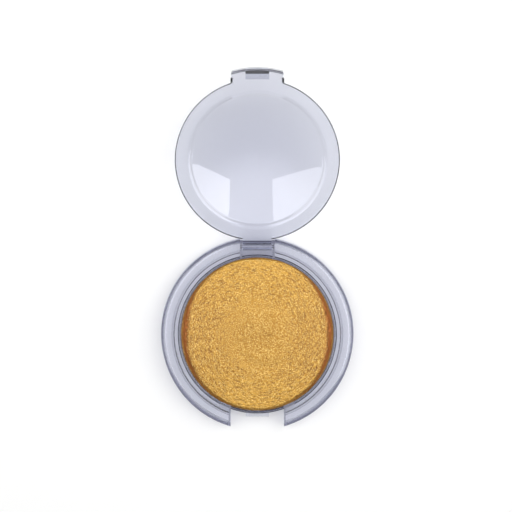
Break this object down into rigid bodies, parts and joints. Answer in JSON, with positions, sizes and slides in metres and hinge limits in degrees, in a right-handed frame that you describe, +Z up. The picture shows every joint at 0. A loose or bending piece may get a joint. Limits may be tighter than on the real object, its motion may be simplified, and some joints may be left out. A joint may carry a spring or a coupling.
{
  "type": "hinged pigment compact",
  "caption": "Round clear flip-lid compact holding a pan of metallic gold pigment, with a snap lid, a thumb notch at the front and a moulded hinge at the rear.",
  "frame": {"origin": "middle of the base's underside, on the plane it stands on", "axes": "+Z up, +Y from the middle of the base to the hinge and the open lid, +X to the right of the thumb notch seen from above with the hinge away"},
  "size_m": [0.06, 0.1095, 0.0242],
  "materials": {
    "clear_base": "clear, gloss",
    "clear_lid": "clear, gloss",
    "pan_metal": "bright rolled",
    "gold_pigment": "metallic, crinkled",
    "glue": "satin",
    "label_film": "satin"
  },
  "bodies": {
    "base": {"base_shell": "clear_base", "pan": "pan_metal", "pigment": "gold_pigment", "glue_dots": "glue", "base_label": "label_film"},
    "lid": {"lid": "clear_lid"}
  },
  "joints": [
    {"name": "lid_hinge", "type": "hinge", "parent": "base", "child": "lid", "pos_m": [0, 0.02695, 0.0073], "axis": [1, 0, 0], "range_deg": [0, 165]}
  ]
}
